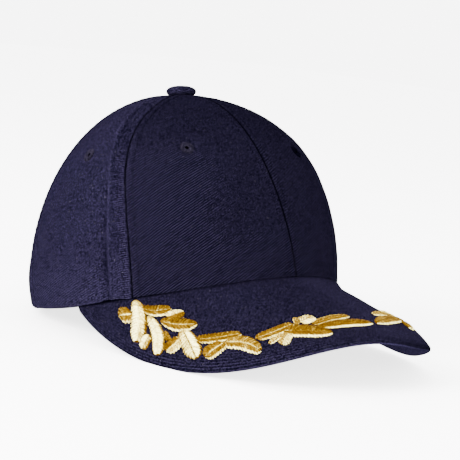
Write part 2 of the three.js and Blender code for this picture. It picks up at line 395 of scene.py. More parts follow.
def noiseNode(tree, where, scale, detail=2.0, rough=0.5):
    return makeNode(tree, "ShaderNodeTexNoise", {},
                    {"Vector": where, "Scale": scale, "Detail": detail, "Roughness": rough})


def objectPlace(tree):
    return makeNode(tree, "ShaderNodeTexCoord", output=3)


def bumpNode(tree, height, strength, distance):
    return makeNode(tree, "ShaderNodeBump", {}, {"Height": height, "Strength": strength, "Distance": distance})


def mixColours(tree, factor, first, second):
    return makeNode(tree, "ShaderNodeMix", {"data_type": "RGBA"}, {0: factor, 6: first, 7: second}, output=2)


twill = {
    "pitch": 1.33,
    "yarn": 0.42,
    "tick": 1.25,
    "dark": (0.00022, 0.00017, 0.00090, 1),
    "light": (0.0073, 0.0059, 0.0137, 1),
    "bluish": (0.0013, 0.0014, 0.0042, 1),
    "fuzz": (0.0270, 0.0245, 0.0330, 1),
    # near black painted into the shade in seams, along the hem's front edge and at the peak's root
    "seam": (0.0001, 0.0001, 0.0003, 1),
    "roughness": 0.9,
    "bump": 0.00030,
    # noises: scale, detail, roughness
    "wander": (110.0, 2.0, 0.5),
    "nap": (28.0, 5.0, 0.62),
    "cloud": (140.0, 3.0, 0.6),
    "speck": (1400.0, 3.0, 0.65),
    "grain": (700.0, 3.0, 0.7),
    "fleck": (900.0, 1.0, 0.5),
}


# Brushed cotton twill: diagonal ribs, the yarns that cross them, and a worn, brushed nap.
def twillMaterial(name, lean, tint=1.0, brushed=1.0, pitch=1.0, ticksAlong=1):
    material, tree = startMaterial(name)
    uv = makeNode(tree, "ShaderNodeUVMap", {"uv_map": "cloth"})
    place = objectPlace(tree)
    noise = lambda key: noiseNode(tree, place, *twill[key])
    shown = lambda key: makeNode(tree, "ShaderNodeAttribute", {"attribute_name": key}, output=2)
    wander = noiseNode(tree, uv, *twill["wander"])
    turned = makeNode(tree, "ShaderNodeMapping", {}, {"Vector": uv, "Rotation": (0, 0, -math.radians(lean))})
    along, across, _ = partsOf(turned)
    ticksOn = partsOf(uv)[ticksAlong]
    turns = 2 * math.pi / (twill["pitch"] * pitch * millimetre)
    dark, light, bluish, fuzz = (tuple(tint * part for part in twill[key][:3]) + (1,)
                                 for key in ("dark", "light", "bluish", "fuzz"))
    rib = (across * turns + wander * 2.6).sine() * 0.5 + 0.5
    yarns = (along * (2 * math.pi / (twill["yarn"] * millimetre)) + across * (turns * 0.5)).sine() * 0.5 + 0.5
    tick = (ticksOn * (2 * math.pi / (twill["tick"] * millimetre)) + wander * 3.0).sine() * 0.5 + 0.5
    nap, cloud, speck, grain = (noise(key) for key in ("nap", "cloud", "speck", "grain"))
    patch = nap.between(0.36, 0.64)
    ribStrength = (shown("ribsShown") * (0.62 + 0.38 * patch)).clamped()
    ribLight = rib.between(0.40, 0.95) * (0.28 + 0.90 * grain.between(0.34, 0.64)) - 0.24
    tickLight = tick.between(0.35, 0.90) * (0.4 + 0.6 * grain.between(0.25, 0.6)) - 0.28
    tone = 0.22 + patch * 0.03 + (speck - 0.5) * (2.15 * brushed) + (grain - 0.5) * 0.5 + (cloud - 0.5) * 0.14
    # here the mesh's wear and painted light lighten or darken the cloth: the fold's painted highlight and shade,
    # the side panels painted lighter low down and the peak's far side painted lighter
    tone = tone + shown("worn") * 0.30 + ribLight * ribStrength * 2.0 + tickLight * shown("ticksShown") * 0.75
    colour = mixColours(tree, tone.clamped(), dark, light)
    colour = mixColours(tree, nap.between(0.45, 0.75) * 0.15, colour, bluish)
    fleck = noise("fleck").between(0.70, 0.80) * (0.30 * brushed)
    colour = mixColours(tree, fleck, colour, fuzz)
    # painted shade: the cloth turns near black in seams, along the hem's front edge and at the peak's root
    colour = mixColours(tree, shown("paintedShade"), colour, twill["seam"])
    height = rib * ribStrength * 1.1 + tick * shown("ticksShown") * 0.8 + yarns * 0.18
    height = height + grain * brushed + speck * 0.5
    bump = bumpNode(tree, height, 0.9, twill["bump"])
    return closeMaterial(material, {
        "Base Color": colour, "Roughness": twill["roughness"] + 0.1 * grain, "Normal": bump,
        "Specular IOR Level": 0.0})


threadLook = {
    "navy": (0.00012, 0.00010, 0.0004, 1),
    "navyLight": (0.0009, 0.0008, 0.0023, 1),
    "mauve": (0.0009, 0.0008, 0.0020, 1),
    "mauveLight": (0.0088, 0.0074, 0.0125, 1),
    "twist": 1800.0,
    "goldTwist": 2600.0,
    "goldWorn": 1250.0,
    "bump": 0.00008,
    # from deep brown gold to a pale yellow near white; the pale end is painted highlight, where the metal threads
    # would glint in the key light
    "gold": (
        (0.0, (0.0070, 0.0026, 0.0001, 1)),
        (0.35, (0.0320, 0.0142, 0.0003, 1)),
        (0.58, (0.0800, 0.0440, 0.0018, 1)),
        (0.80, (0.3000, 0.2350, 0.0480, 1)),
        (1.0, (0.62, 0.575, 0.225, 1)),
    ),
}


def threadMaterial(name, dark, light, roughness):
    material, tree = startMaterial(name)
    twist = noiseNode(tree, objectPlace(tree), threadLook["twist"])
    colour = mixColours(tree, twist.between(0.4, 0.7), dark, light)
    bump = bumpNode(tree, twist, 0.5, threadLook["bump"])
    return closeMaterial(material, {
        "Base Color": colour, "Roughness": roughness + 0.1 * twist, "Normal": bump,
        "Specular IOR Level": 0.0})


def goldMaterial(name):
    material, tree = startMaterial(name)
    place = objectPlace(tree)
    tone = makeNode(tree, "ShaderNodeAttribute", {"attribute_name": "tone"}, output=2)
    twist = noiseNode(tree, place, threadLook["goldTwist"])
    worn = noiseNode(tree, place, threadLook["goldWorn"])
    spread = (tone + 0.45 * (twist - 0.5) + 0.62 * (worn - 0.5)).clamped()
    colour = makeNode(tree, "ShaderNodeValToRGB", {"stops": threadLook["gold"]}, {"Fac": spread})
    bump = bumpNode(tree, twist, 0.6, threadLook["bump"])
    return closeMaterial(material, {
        "Base Color": colour, "Metallic": 0.05 + 0.08 * twist, "Roughness": 0.42 + 0.16 * twist,
        "Normal": bump, "Specular IOR Level": 0.0})


# Floor albedo x world + glow = world, so the floor meets the background without a line.
studio = {
    "floorSize": 4.0,
    "floorGlow": 2.8,
    "world": 7.0,
    "aim": (0, 0, 0.06),
}


def groundMaterial():
    material, tree = startMaterial("paleFloor")
    mottle = noiseNode(tree, objectPlace(tree), 3.0)
    colour = mixColours(tree, mottle, (0.595, 0.595, 0.60, 1), (0.605, 0.605, 0.605, 1))
    return closeMaterial(material, {
        "Base Color": colour, "Roughness": 0.9, "Emission Color": (1, 1, 1, 1),
        "Emission Strength": studio["floorGlow"]})


# Lit and shaded copies of one navy twill: the tints paint the side and back panels lighter and the front panels
# darker, as the key light from the left falls, and paint the peak's underside four times lighter, as light it
# doesn't get from below; the peak and the button have their own tints.
frontTwill = twillMaterial("navyTwillFront", lean=27, tint=0.76, brushed=1.35)
sideTwill = twillMaterial("navyTwillSide", lean=20, tint=1.10, brushed=1.6)
peakTwill = twillMaterial("navyTwillPeak", lean=0, tint=0.84, brushed=1.8, pitch=1.45, ticksAlong=0)
underTwill = twillMaterial("navyTwillUnder", lean=65, tint=4.0, brushed=0.6)
buttonTwill = twillMaterial("navyTwillButton", lean=30, tint=1.25)
navyThread = threadMaterial("navyThread", threadLook["navy"], threadLook["navyLight"], 0.75)
mauveThread = threadMaterial("mauveThread", threadLook["mauve"], threadLook["mauveLight"], 0.8)
goldThread = goldMaterial("goldThread")
print("materials made")

camera = {
    "place": (-754.94, -764.56, 200.5),
    "target": (11.15, 13.17, 65.42),
    "roll": -6.346,
    "lens": 140.82,
}


def placeCamera():
    data = bpy.data.cameras.new("camera")
    data.lens = camera["lens"]
    data.sensor_width = 36
    data.clip_end = 20
    held = linked("camera", data)
    place = Vector(camera["place"]) * millimetre
    back = (place - Vector(camera["target"]) * millimetre).normalized()
    level = Vector((0, 0, 1)).cross(back).normalized()
    upright = back.cross(level)
    roll = math.radians(camera["roll"])
    up = level * math.sin(roll) + upright * math.cos(roll)
    right = up.cross(back)
    turn = Matrix((right, up, back)).transposed()
    held.matrix_world = Matrix.Translation(place) @ turn.to_4x4()
    bpy.context.scene.camera = held


placeCamera()

lights = [
    # name, place in metres, size, power, colour
    ("key", (-1.50, 0.10, 0.80), 0.9, 208, (1.0, 0.96, 0.98)),
    ("front", (-0.95, -1.15, 0.45), 0.6, 54, (1.0, 0.98, 0.95)),
    ("top", (0.3, 0.3, 1.6), 1.2, 29, (1.0, 1.0, 1.0)),
]


def layStage():
    size = studio["floorSize"]
    mesh = bpy.data.meshes.new("floor")
    mesh.from_pydata([(-size, -size, 0), (size, -size, 0), (size, size, 0), (-size, size, 0)], [], [(0, 1, 2, 3)])
    floor = linked("floor", mesh)
    mesh.materials.append(groundMaterial())
    floor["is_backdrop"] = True
    for name, place, wide, power, colour in lights:
        data = bpy.data.lights.new(name, "AREA")
        data.shape = "DISK"
        data.size = wide
        data.energy = power
        data.color = colour
        lamp = linked(name, data)
        lamp.location = place
        aim = Vector(studio["aim"]) - Vector(place)
        lamp.rotation_euler = aim.to_track_quat("-Z", "Y").to_euler()
    world = bpy.data.worlds.new("studio")
    bpy.context.scene.world = world
    world.use_nodes = True
    background = world.node_tree.nodes["Background"].inputs
    background["Color"].default_value = (1, 1, 1, 1)
    background["Strength"].default_value = studio["world"]


layStage()
print("camera, floor and lights made")


# Every tree takes paths, a thread material and its own named numbers, and gives a plain mesh.
def openTree(name, inputs):
    tree = bpy.data.node_groups.new(name, "GeometryNodeTree")
    for title, kind, value in (("Paths", "Geometry", None), *inputs, ("Thread", "Material", None)):
        item = tree.interface.new_socket(name=title, in_out="INPUT", socket_type="NodeSocket" + kind)
        if value is not None:
            item.default_value = value
    tree.interface.new_socket(name="Mesh", in_out="OUTPUT", socket_type="NodeSocketGeometry")
    enter = tree.nodes.new("NodeGroupInput")
    return tree, {socket.name: Flow(tree, socket) for socket in enter.outputs if socket.name}


def closeTree(tree, geometry, thread):
    done = makeNode(tree, "GeometryNodeSetMaterial", {}, {"Geometry": geometry, "Material": thread})
    leave = tree.nodes.new("NodeGroupOutput")
    tree.links.new(done.socket, leave.inputs[0])
    return tree


# Short arched stitches laid along each path, standing on the cloth.
def stitchTree():
    tree, given = openTree("stitch row", (
        ("Pitch", "Float", 0.0026), ("Length", "Float", 0.0021), ("Thickness", "Float", 0.0005),
        ("Arch", "Float", 0.0003), ("Turn", "Float", 0.0), ("Sway", "Float", 0.06), ("Seed", "Int", 3)))
    node = lambda *parts, output=0: makeNode(tree, *parts, output=output)
    path = node("GeometryNodeMeshToCurve", {}, {"Mesh": given["Paths"]})
    path = node("GeometryNodeResampleCurve", {"mode": "LENGTH"}, {"Curve": path, "Length": given["Pitch"]})
    half = given["Length"] * 0.5
    dip = given["Thickness"] * -0.6
    start = node("ShaderNodeCombineXYZ", {}, {"X": half * -1.0, "Z": dip})
    middle = node("ShaderNodeCombineXYZ", {}, {"Z": given["Arch"] * 2.0})
    end = node("ShaderNodeCombineXYZ", {}, {"X": half, "Z": dip})
    arch = node("GeometryNodeCurveQuadraticBezier", {},
                {"Resolution": 4, "Start": start, "Middle": middle, "End": end})
    ring = node("GeometryNodeCurvePrimitiveCircle", {}, {"Resolution": 5, "Radius": given["Thickness"] * 0.5})
    stitch = node("GeometryNodeCurveToMesh", {}, {"Curve": arch, "Profile Curve": ring, "Fill Caps": True})
    outward = node("GeometryNodeInputNamedAttribute", {"data_type": "FLOAT_VECTOR"}, {"Name": "outward"})
    stood = node("FunctionNodeAlignRotationToVector", {"axis": "Z"}, {"Vector": outward})
    tangent = node("GeometryNodeInputTangent")
    laid = node("FunctionNodeAlignRotationToVector", {"axis": "X", "pivot_axis": "Z"},
                {"Rotation": stood, "Vector": tangent})
    sway = node("FunctionNodeRandomValue", {"data_type": "FLOAT"},
                {2: given["Sway"] * -1.0, 3: given["Sway"], "Seed": given["Seed"]}, output=1)
    twist = node("ShaderNodeCombineXYZ", {}, {"Z": given["Turn"] + sway})
    twisted = node("FunctionNodeEulerToRotation", {}, {"Euler": twist})
    turned = node("FunctionNodeRotateRotation", {"rotation_space": "LOCAL"},
                  {"Rotation": laid, "Rotate By": twisted})
    placed = node("GeometryNodeInstanceOnPoints", {}, {"Points": path, "Instance": stitch, "Rotation": turned})
    real = node("GeometryNodeRealizeInstances", {}, {"Geometry": placed})
    return closeTree(tree, real, given["Thread"])


# Threads swept along given paths, with their own girth.
def threadTree():
    tree, given = openTree("laid threads", (("Sides", "Int", 5), ("Girth", "Float", 1.0)))
    node = lambda *parts, output=0: makeNode(tree, *parts, output=output)
    path = node("GeometryNodeMeshToCurve", {}, {"Mesh": given["Paths"]})
    girth = node("GeometryNodeInputNamedAttribute", {"data_type": "FLOAT"}, {"Name": "girth"})
    ring = node("GeometryNodeCurvePrimitiveCircle", {}, {"Resolution": given["Sides"], "Radius": 1.0})
    swept = node("GeometryNodeCurveToMesh", {},
                 {"Curve": path, "Profile Curve": ring, "Scale": girth * given["Girth"], "Fill Caps": True})
    real = node("GeometryNodeRealizeInstances", {}, {"Geometry": swept})
    shaded = node("GeometryNodeSetShadeSmooth", {}, {"Geometry": real})
    return closeTree(tree, shaded, given["Thread"])


# What every piece says of itself: it rides on the root, and it may stand for a solid.
def settle(made, node=None):
    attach(made, "root")
    if node:
        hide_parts(node)


def declareSheet(made, wide, tall, area):
    wide, tall = (round(float(side) * millimetre, 3) for side in (wide, tall))
    round(min(area, wide * tall), 5)
    print("sheet", made.name, wide, tall, round(area, 5))


stitchRow = stitchTree()
laidThreads = threadTree()


def pathsObject(name, paths, outward=(), numbers=None):
    points = np.concatenate(paths) * millimetre
    edges = []
    start = 0
    for path in paths:
        edges += [(start + k, start + k + 1) for k in range(len(path) - 1)]
        start += len(path)
    mesh = bpy.data.meshes.new(name)
    mesh.from_pydata(points.tolist(), edges, [])
    if outward:
        layer = mesh.attributes.new("outward", "FLOAT_VECTOR", "POINT")
        layer.data.foreach_set("vector", np.concatenate(outward).astype(np.float32).ravel())
    addNumbers(mesh, {key: np.concatenate(values) for key, values in (numbers or {}).items()})
    return linked(name, mesh)


def grow(made, tree, lengths, others):
    inputs = {**{key: value * millimetre for key, value in lengths.items()}, **others}
    modifier = made.modifiers.new(tree.name, "NODES")
    modifier.node_group = tree
    for item in tree.interface.items_tree:
        if item.item_type == "SOCKET" and item.in_out == "INPUT" and item.name in inputs:
            modifier[item.identifier] = inputs[item.name]
    plain(made)


def plain(made):
    graph = bpy.context.evaluated_depsgraph_get()
    mesh = bpy.data.meshes.new_from_object(made.evaluated_get(graph), preserve_all_data_layers=True,
                                           depsgraph=graph)
    made.modifiers.clear()
    made.data = mesh
    mesh.name = made.name


cloth = {
    "columns": 96,
    "rows": 136,
    "seamRoll": 1.35,
    "middleRoll": 0.7,
    "seamLap": 0.18,
    "bandWidth": 5.0,
    "bandRise": 0.45,
    "stitchDimple": 0.35,
    "stitchPitch": 2.6,
    "pucker": 0.16,
    "puckerWave": 4.6,
    "hemRoll": 1.3,
    "softWave": 0.55,
    "firmWave": 0.15,
}
# How wide the painted shade in and beside a seam is, with what is added between two heights, and how much lighter
# the hem's edge and the cloth just beside a seam are.
seamLook = {
    "dark": 0.95,
    "middle": 0.30,
    "firm": (0.8, 28, 50),
    "top": (0.9, 52, 66),
    "fold": (1.1, 30, 52),
    "lighterHem": 0.5,
    "wornSeam": 0.35,
    "sharp": 1.6,
}
# How plainly the ribs of the twill show: on the firm panels low down, beside the side seam and along every seam.
ribLook = {
    "firm": 0.05,
    "firmLow": 0.65,
    "farSide": 0.5,
    "farSideMore": 0.18,
    "besideSeam": 0.40,
    "soft": 0.08,
    "softLow": 0.22,
}
# The cloth of the side panels stands up in a soft fold beside the front seam. Distances are from the seam.
foldTable = {
    "lift": (0.0, 9.0, 14.0, 20.0, 27.0, 36.0, 46.0, 56.0, 66.0, 74.0, 82.0),
    "ridgeAt": (14.5, 14.3, 13.8, 12.7, 11.0, 9.8, 9.8, 10.3, 10.4, 9.6, 7.0),
    "ridge": (0.2, 0.8, 1.0, 1.0, 0.9, 0.8, 0.8, 0.9, 0.9, 0.6, 0.0),
    "sink": (0.0, 0.1, 0.2, 0.3, 0.5, 1.0, 1.9, 2.3, 2.1, 1.2, 0.0),
    "outer": (0.8, 2.0, 1.6, 0.9, 0.3, 0.1, 0.0, 0.0, 0.0, 0.0, 0.0),
}
eyeletTable = [
    # name, its panel, angle, lift
    ("eyelet_front_right", "front_panel_right", -42.5, 46.8),
    ("eyelet_front_left", "front_panel_left", 38.0, 46.5),
    ("eyelet_side_right", "side_panel_right", -86.7, 44.3),
    ("eyelet_side_left", "side_panel_left", 87.5, 44.5),
    ("eyelet_back_right", "back_panel_right", -147.0, 45.0),
    ("eyelet_back_left", "back_panel_left", 147.0, 45.0),
]


def straightSeam(angle):
    return lambda lift: 0 * lift + angle


def sideSeamRight(lift):
    return -sideSeam(lift)


panelTable = [
    # name, from seam, to seam, firm, cloth
    ("front_panel_right", sideSeamRight, straightSeam(0), True, frontTwill),
    ("front_panel_left", straightSeam(0), sideSeam, True, frontTwill),
    ("side_panel_right", straightSeam(-seams["backAngle"]), sideSeamRight, False, sideTwill),
    ("side_panel_left", sideSeam, straightSeam(seams["backAngle"]), False, sideTwill),
    ("back_panel_right", straightSeam(-180), straightSeam(-seams["backAngle"]), False, sideTwill),
    ("back_panel_left", straightSeam(seams["backAngle"]), straightSeam(180), False, sideTwill),
]


def foldForm(lift):
    return (np.interp(lift, foldTable["lift"], foldTable[key]) for key in ("ridgeAt", "ridge", "sink", "outer"))


def foldRelief(far, lift):
    at, ridge, sink, outer = foldForm(lift)
    below = np.clip((at - far) / at, 0, 1)
    return ridge * bell(far - at, 1.5) - sink * below ** 0.8 - outer * bell(far - at - 2.6, 2.2)


# Painted light on the fold: the ridge is painted light as a highlight, and the valley beside it and the dip beyond
# it are painted dark as shade.
def foldPaintedLight(far, lift):
    at, ridge, sink, outer = foldForm(lift)
    valley = smoothStep(0, 1.5, far) * fadeOut(at - 2.2, at - 0.8, far)
    valley = valley * (1 - 0.7 * smoothStep(50, 62, lift))
    return (0.85 * ridge * bell(far - at, 0.8) - 0.16 * sink * valley
            - 0.12 * sink * bell(far - at + 1.8, 1.5) - 0.45 * outer * bell(far - at - 2.6, 1.8))


def dishes(name, angle, lift):
    sunk = 0 * angle
    for _, owner, at, high in eyeletTable:
        if owner == name:
            place = crownAt(at, high)
            far = np.linalg.norm(crownAt(angle, lift) - place, axis=-1)
            sunk = sunk - 0.55 * bell(far, 5.5) + 0.25 * bell(far - 7.5, 2.5)
    return sunk


def makePanel(order, name, fromSeam, toSeam, firm, finish):
    isRight, isSide = name.endswith("right"), name.startswith("side")
    columns, rows = cloth["columns"], cloth["rows"]
    i = np.linspace(0, 1, columns + 1)[:, None]
    j = np.linspace(0, 1, rows + 1)[None, :]
    share = i - 0.78 * np.sin(2 * math.pi * i) / (2 * math.pi)
    climbTo = j - 0.55 * np.sin(math.pi * j) / math.pi
    # equal steps up the panel's middle
    probe = np.linspace(0, 1, 400)
    middle = float(fromSeam(30.0) + toSeam(30.0)) / 2
    bottom = hemLift(middle)
    line = crownAt(middle + 0 * probe, bottom + (crown["topLift"] - bottom) * probe)
    run = alongRows(line[None])[0]
    climb = np.interp(climbTo, run / run[-1], probe)
    lift0 = hemLift(middle + (share - 0.5) * (toSeam(0.0) - fromSeam(0.0)))
    lift = lift0 + (crown["topLift"] - lift0) * climb
    start, end = fromSeam(lift), toSeam(lift)
    degree = np.linalg.norm(crownAt(start + 1, lift) - crownAt(start, lift), axis=-1)
    # each panel is lapped a little under its neighbour, so that no light shows through a seam
    lap = np.minimum(cloth["seamLap"] / np.maximum(degree, 0.05), (end - start) * 0.2)
    angle = start - lap + (end - start + 2 * lap) * share
    base = crownAt(angle, lift)
    across = alongRows(base.transpose(1, 0, 2)).T
    wide = across[-1:]
    up = alongRows(base)
    near = np.minimum(across, wide - across)
    # the seam allowance rolls down into the seam, and the centre seam is the flattest
    toMiddle = wide - across if isRight else across
    flatSeam = np.where(firm & (toMiddle < wide / 2), 1.0, 0.0)
    roll = cloth["seamRoll"] + (cloth["middleRoll"] - cloth["seamRoll"]) * flatSeam
    roll = np.minimum(roll, wide * 0.25)
    relief = -rolledEdge(roll, near)
    full = smoothStep(8, 24, wide)
    band = smoothStep(0.4, 2.0, near) * fadeOut(cloth["bandWidth"] - 0.9, cloth["bandWidth"] + 0.7, near)
    strong = full * (1 - 0.75 * flatSeam)
    far = wide - across if isRight else across
    if isSide:
        strong = strong * (1 - 0.9 * smoothStep(36, 48, lift) * (far < wide / 2))
    relief = relief + cloth["bandRise"] * band * strong
    beat = 0.6 + 0.4 * np.cos(2 * math.pi * up / cloth["stitchPitch"])
    relief = relief - cloth["stitchDimple"] * bell(near - cloth["bandWidth"], 0.7) * strong * beat
    strain = np.exp(-near / 6) * strong
    wave = 2 * math.pi * (up + 0.5 * near) / cloth["puckerWave"] + 1.2 * ripple(order + 40, across, up, 30)
    relief = relief + cloth["pucker"] * strain * np.sin(wave)
    soft = cloth["firmWave"] if firm else cloth["softWave"]
    calm = smoothStep(2, 16, near)
    relief = relief + soft * calm * ripple(order + 10, across, up, 62) * 0.6
    relief = relief + 0.22 * soft * calm * ripple(order + 20, across, up, 21)
    if isSide:
        relief = relief + foldRelief(far, lift)
    relief = relief + dishes(name, angle, lift)
    relief = relief - rolledEdge(cloth["hemRoll"], up)
    relief = relief + 0.3 * bell(up - 3.0, 2.2)
    normal = outwardOf(crownAt, angle, lift)
    deep = -crown["wall"] - 0 * relief
    outer = base + normal * np.maximum(relief, deep + 0.3)[..., None]
    inner = base + normal * deep[..., None]
    outer, inner = (np.concatenate([pressed(grid[:, :1]), rested(grid[:, 1:])], 1) for grid in (outer, inner))
    uv = np.stack([across - wide / 2, up], -1)
    more = lambda key: seamLook[key][0] * smoothStep(*seamLook[key][1:], lift)
    shadow = seamLook["dark"] + seamLook["middle"] * flatSeam
    if firm:
        shadow = shadow + more("firm") * (1 - flatSeam)
    if name in ("front_panel_right", "side_panel_right"):
        shadow = shadow + more("top") * (1 - flatSeam)
    ticksShown = 0 * across
    # the hem's edge and the cloth just beside a seam are made lighter
    worn = seamLook["lighterHem"] * bell(up - 1.6, 0.7)
    worn = worn + seamLook["wornSeam"] * bell(near - shadow - 0.5, 0.5) * (1 - flatSeam)
    # the firm panels are made darker towards the top
    worn = worn - 0.15 * firm * smoothStep(40, 62, lift)
    if isSide:
        # painted light: the fold's painted highlight and shade, and the side panels painted lighter near the hem,
        # as light from the pale floor
        worn = worn + foldPaintedLight(far, lift) + 0.3 * fadeOut(2, 14, lift)
        shadow = shadow + more("fold") * (far < wide / 2)
        ticksShown = fadeOut(4.5, 8.5, far) * smoothStep(0.6, 1.4, far) * fadeOut(42, 50, lift)
    # painted shade: near black in and beside each seam, and along the hem's lowest edge at the front
    paintedShade = np.clip(seamLook["sharp"] * (1 - near / shadow), 0, 1)
    paintedShade = np.maximum(paintedShade, np.clip(1.2 * (1 - up / 0.8), 0, 1) * (np.abs(angle) < 84))
    # the ribs of the twill are worn away towards the crown's top and on the soft panels
    if firm:
        besideSide = smoothStep(-22, -50, angle) if isRight else 0 * angle
        low = fadeOut(14, 24, lift)
        ribsShown = np.clip(ribLook["firm"] + besideSide * fadeOut(40, 50, lift) + low * ribLook["firmLow"], 0, 1)
        farSide = ribsShown * ribLook["farSide"] + ribLook["farSideMore"] * fadeOut(40, 56, lift)
        ribsShown = np.where(angle > 0, farSide, ribsShown)
        ribsShown = ribsShown + ribLook["besideSeam"] * bell(near - 3, 3) * fadeOut(40, 56, lift)
    else:
        ribsShown = ribLook["soft"] + ribLook["softLow"] * fadeOut(4, 20, lift) + 0 * angle
    ribsShown = np.clip(ribsShown * (1 - ticksShown), 0, 1)
    points = np.concatenate([outer.reshape(-1, 3), inner.reshape(-1, 3)])
    numbers = {"paintedShade": paintedShade, "ribsShown": ribsShown, "ticksShown": ticksShown, "worn": worn}
    made = pieceFrom(name + "_cloth", points, shellFaces(columns + 1, rows + 1),
                     {key: forBothSkins(values) for key, values in numbers.items()}, forBothSkins(uv))
    made.data.materials.append(finish)
    return made, {"outer": outer, "normal": turnedOnly(normal), "across": across, "up": up, "wide": wide}


# The line on a panel at one distance from its first or last seam, from low to high.
def besideSeam(data, last):
    distance = seamRow["distance"]
    paths, outs = [], []
    for j in range(data["up"].shape[1]):
        wide = data["wide"][0, j]
        if wide < distance * 2.6:
            break
        want = wide - distance if last else distance
        i = np.interp(want, data["across"][:, j], np.arange(len(data["across"])))
        k = min(int(i), len(data["across"]) - 2)
        t = i - k
        up = data["up"][k, j]
        if up < seamRow["lowest"]:
            continue
        paths.append(data["outer"][k, j] * (1 - t) + data["outer"][k + 1, j] * t)
        outs.append(data["normal"][k, j])
    return np.array(paths), np.array(outs)


def cutHole(made, angle, lift, radius):
    place = tilted(crownAt(angle, lift))
    axis = unit(turnedOnly(outwardOf(crownAt, angle, lift)))
    bpy.ops.mesh.primitive_cylinder_add(vertices=24, radius=radius * millimetre, depth=0.012,
                                        location=tuple(place * millimetre))
    punch = bpy.context.object
    punch.rotation_euler = Vector(axis).to_track_quat("Z", "Y").to_euler()
    modifier = made.modifiers.new("hole", "BOOLEAN")
    modifier.object = punch
    modifier.operation = "DIFFERENCE"
    modifier.solver = "EXACT"
    bpy.context.view_layer.update()
    plain(made)
    bpy.data.objects.remove(punch, do_unlink=True)
    return place, axis


panels = {}
for order, (name, fromSeam, toSeam, firm, finish) in enumerate(panelTable):
    made, data = makePanel(order, name, fromSeam, toSeam, firm, finish)
    panels[name] = (made, data)
    print("panel", name, "area", round(areaOf(data["outer"]), 5))

eyelet = {
    "hole": 2.3,
    "inner": 1.55,
    "outer": 4.0,
    "rise": 0.7,
    "wraps": 0.52,
}


def spokesRound(axis, turns):
    side = unit(np.cross(axis, np.array([0.1, 0.2, 1.0])))
    other = np.cross(axis, side)
    return [side * math.cos(turn) + other * math.sin(turn) for turn in turns]


# Quads round a turned profile of m points; a closed profile also joins its last point to its first.
def turnedFaces(n, m, closed):
    return [(a * m + b, (a + 1) % n * m + b, (a + 1) % n * m + (b + 1) % m, a * m + (b + 1) % m)
            for a in range(n) for b in range(m if closed else m - 1)]


def makeEyelet(name, owner, angle, lift, seed):
    place, axis = cutHole(panels[owner][0], angle, lift, eyelet["hole"])
    turns = np.linspace(0, 2 * math.pi, 41)[:-1]
    profile = [(eyelet["inner"] + 0.25, -1.8), (eyelet["hole"] - 0.1, -1.8), (eyelet["hole"] - 0.1, 0.1),
               (eyelet["outer"] - 0.3, -0.1), (eyelet["outer"] - 0.6, 0.45), (2.9, eyelet["rise"] - 0.3),
               (eyelet["inner"] + 0.45, 0.45)]
    points = [place + spoke * r + axis * (z - 0.5) for spoke in spokesRound(axis, turns) for r, z in profile]
    base = pieceFrom(name + "_base", points, turnedFaces(len(turns), len(profile), True))
    base.data.materials.append(navyThread)
    middle = (eyelet["inner"] + eyelet["outer"]) / 2
    circle = np.array([place + spoke * middle + axis * -0.1
                       for spoke in spokesRound(axis, np.linspace(0, 2 * math.pi, 64))])
    up = np.repeat(axis[None], len(circle), 0)
    wraps = pathsObject(name + "_thread", [circle], [up])
    grow(wraps, stitchRow, {
        "Pitch": eyelet["wraps"], "Length": eyelet["outer"] - eyelet["inner"] + 0.5, "Thickness": 0.5, "Arch": 0.5,
    }, {"Turn": math.pi / 2, "Sway": 0.12, "Seed": seed,
        "Thread": mauveThread if name.endswith("right") else navyThread})
    return base, wraps


for seed, (name, owner, angle, lift) in enumerate(eyeletTable):
    base, wraps = makeEyelet(name, owner, angle, lift, seed)
    settle(base, name)
    settle(wraps)
print("eyelets made")

for name, (made, data) in panels.items():
    settle(made, name)
    declareSheet(made, data["wide"].max(), data["up"].max(), areaOf(data["outer"]))

seamRow = {
    "distance": 5.0,
    "lowest": 2.0,
}
rowTable = [
    # panel, beside its last seam
    ("front_panel_right", False), ("side_panel_right", True), ("front_panel_left", True),
    ("side_panel_left", False), ("front_panel_right", True), ("front_panel_left", False),
    ("side_panel_right", False), ("back_panel_right", True), ("side_panel_left", True),
    ("back_panel_left", False), ("back_panel_right", False), ("back_panel_left", True),
]
paths, outs = [], []
for owner, last in rowTable:
    path, out = besideSeam(panels[owner][1], last)
    paths.append(path)
    outs.append(out)
crownStitches = pathsObject("crown_stitches", paths, outs)
grow(crownStitches, stitchRow, {"Pitch": 2.6, "Length": 2.0, "Thickness": 0.45, "Arch": 0.16},
     {"Sway": 0.08, "Seed": 11, "Thread": navyThread})
settle(crownStitches)
print("crown stitches made")

button = {
    "columns": 96,
    "profile": (
        (0.05, -3.4), (1.5, -3.4), (1.5, 0.0), (1.6, 0.3), (4.0, 0.1), (6.2, -0.4), (7.3, -0.5), (8.1, -0.1),
        (8.9, 0.7), (9.3, 1.7), (9.2, 2.6), (8.65, 3.5), (7.6, 4.3), (6.2, 4.9), (4.7, 5.3), (3.2, 5.5),
        (1.6, 5.6), (0.05, 5.6)),
    "dentAt": (5, 2.6),
    "dent": 0.5,
}


